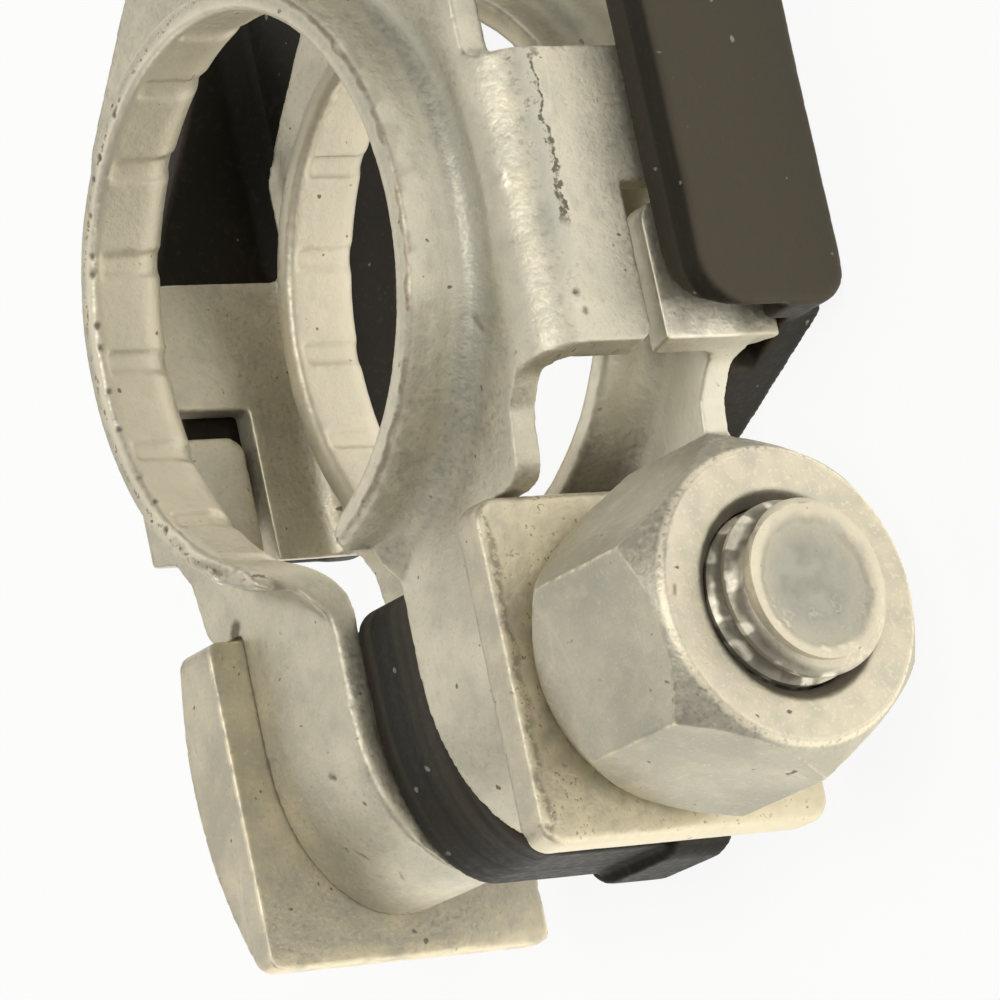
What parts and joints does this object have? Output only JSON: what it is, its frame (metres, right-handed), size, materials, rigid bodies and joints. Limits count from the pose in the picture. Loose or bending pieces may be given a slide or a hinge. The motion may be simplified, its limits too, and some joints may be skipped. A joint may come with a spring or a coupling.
{
  "type": "battery terminal clamp",
  "caption": "Folded sheet-metal clamp for a round battery post, with drawn collars, a slit closed by a T-bolt, square washer and hex nut, held in a moulded plastic saddle.",
  "frame": {"origin": "on the axis of the post bore, half way between the front and rear sheets of the folded strap", "axes": "+Z along the post bore towards the raised front collar, the flat underside of the saddle facing -Z; +X along the bolt from its head to the nut; -Y from the bore to the slit and the ears"},
  "size_m": [0.033, 0.0371, 0.0134],
  "materials": {
    "strap_plating": "satin, dull plated sheet",
    "bolt_plating": "satin, dull plated steel",
    "washer_plating": "satin, dull plated steel",
    "nut_plating": "satin, dull plated steel",
    "saddle_plastic": "matte, dark brown-black"
  },
  "bodies": {
    "clamp": {"clamp_strap": "strap_plating", "t_bolt": "bolt_plating", "plastic_saddle": "saddle_plastic"},
    "washer": {"square_washer": "washer_plating"},
    "nut": {"hex_nut": "nut_plating"}
  },
  "joints": [
    {"name": "washer_slide", "type": "slide", "parent": "clamp", "child": "washer", "axis": [1, 0, 0], "range_m": [0, 0.005]},
    {"name": "nut_turn", "type": "hinge", "parent": "washer", "child": "nut", "pos_m": [0.0125, -0.0158, 0], "axis": [1, 0, 0], "range_deg": [0, 1800]}
  ],
  "couplings": [
    {"joint": "nut_turn", "follows": "washer_slide", "rad_per_m": 6283}
  ]
}
